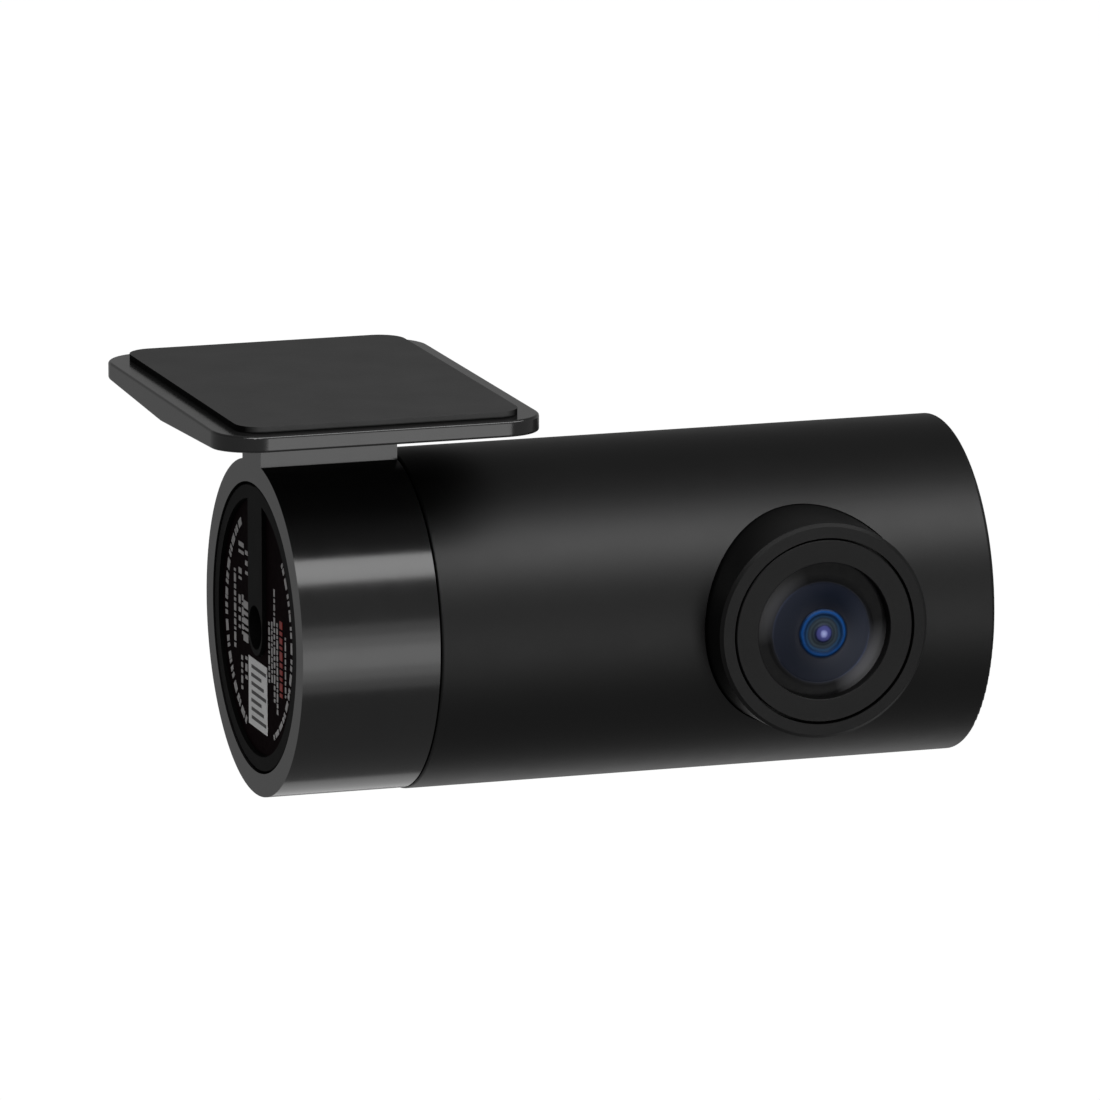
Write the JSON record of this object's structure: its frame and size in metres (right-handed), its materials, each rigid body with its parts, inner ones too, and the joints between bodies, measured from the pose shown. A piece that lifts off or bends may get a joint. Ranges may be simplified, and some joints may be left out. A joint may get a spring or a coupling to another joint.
{
  "type": "dash camera",
  "caption": "Rear-window dash camera: a round body with a side lens that tilts in the collar of a stick-on bracket.",
  "frame": {"origin": "centre of the adhesive pad's top face, where it meets the glass", "axes": "+Z out of the pad towards the glass, +X along the body away from the collar, the lens looks along -Y at rest"},
  "size_m": [0.0756, 0.0418, 0.0385],
  "materials": {
    "bracket_plastic": "semi-gloss moulded",
    "foam_tape": "matt acrylic foam",
    "housing_plastic": "satin",
    "cap_plastic": "satin moulded",
    "label_film": "printed film",
    "bezel_plastic": "satin",
    "trim_plastic": "satin",
    "front_glass": "coated polished",
    "coated_glass": "blue coated",
    "filter_glass": "polished",
    "lens_black": "blackened",
    "seal_rubber": "silicone",
    "screw_steel": "zinc plated",
    "circuit_board": "solder mask",
    "chip_black": "moulded epoxy",
    "part_ceramic": "ceramic",
    "thermal_gel": "silicone",
    "spreader_aluminium": "as rolled",
    "frame_plastic": "moulded",
    "socket_plastic": "moulded",
    "contact_brass": "plated"
  },
  "bodies": {
    "bracket": {"mount_bracket": "bracket_plastic", "adhesive_pad": "foam_tape"},
    "camera": {"aperture_stop": "lens_black", "baffle_cone": "lens_black", "barrel_gasket": "seal_rubber", "barrel_screws": "screw_steel", "barrel_seal": "seal_rubber", "board_connector": "chip_black", "board_parts": "part_ceramic", "board_screws": "screw_steel", "end_cap_gasket": "seal_rubber", "end_cap_screws": "screw_steel", "friction_ring": "seal_rubber", "front_lens_element": "front_glass", "heat_spreader": "spreader_aluminium", "image_processor": "chip_black", "image_sensor": "chip_black", "inner_frame": "frame_plastic", "ir_cut_filter": "filter_glass", "jack_socket": "socket_plastic", "left_end_cap": "cap_plastic", "lens_barrel": "bezel_plastic", "lens_holder": "lens_black", "lens_retaining_ring": "lens_black", "lens_spacer": "lens_black", "lens_trim_ring": "trim_plastic", "lens_tube": "lens_black", "main_board": "circuit_board", "main_housing": "housing_plastic", "memory_chip": "chip_black", "rating_label": "label_film", "rear_lens_element": "coated_glass", "right_cap_seal": "seal_rubber", "right_end_cap": "housing_plastic", "second_lens_element": "coated_glass", "sensor_board": "circuit_board", "sensor_board_screws": "screw_steel", "sensor_cover_glass": "filter_glass", "socket_contacts": "contact_brass", "thermal_pad": "thermal_gel", "third_lens_element": "coated_glass"}
  },
  "joints": [
    {"name": "body_tilt", "type": "hinge", "parent": "bracket", "child": "camera", "pos_m": [0, 0, -0.0228], "axis": [-1, 0, 0], "range_deg": [-45, 90]}
  ]
}
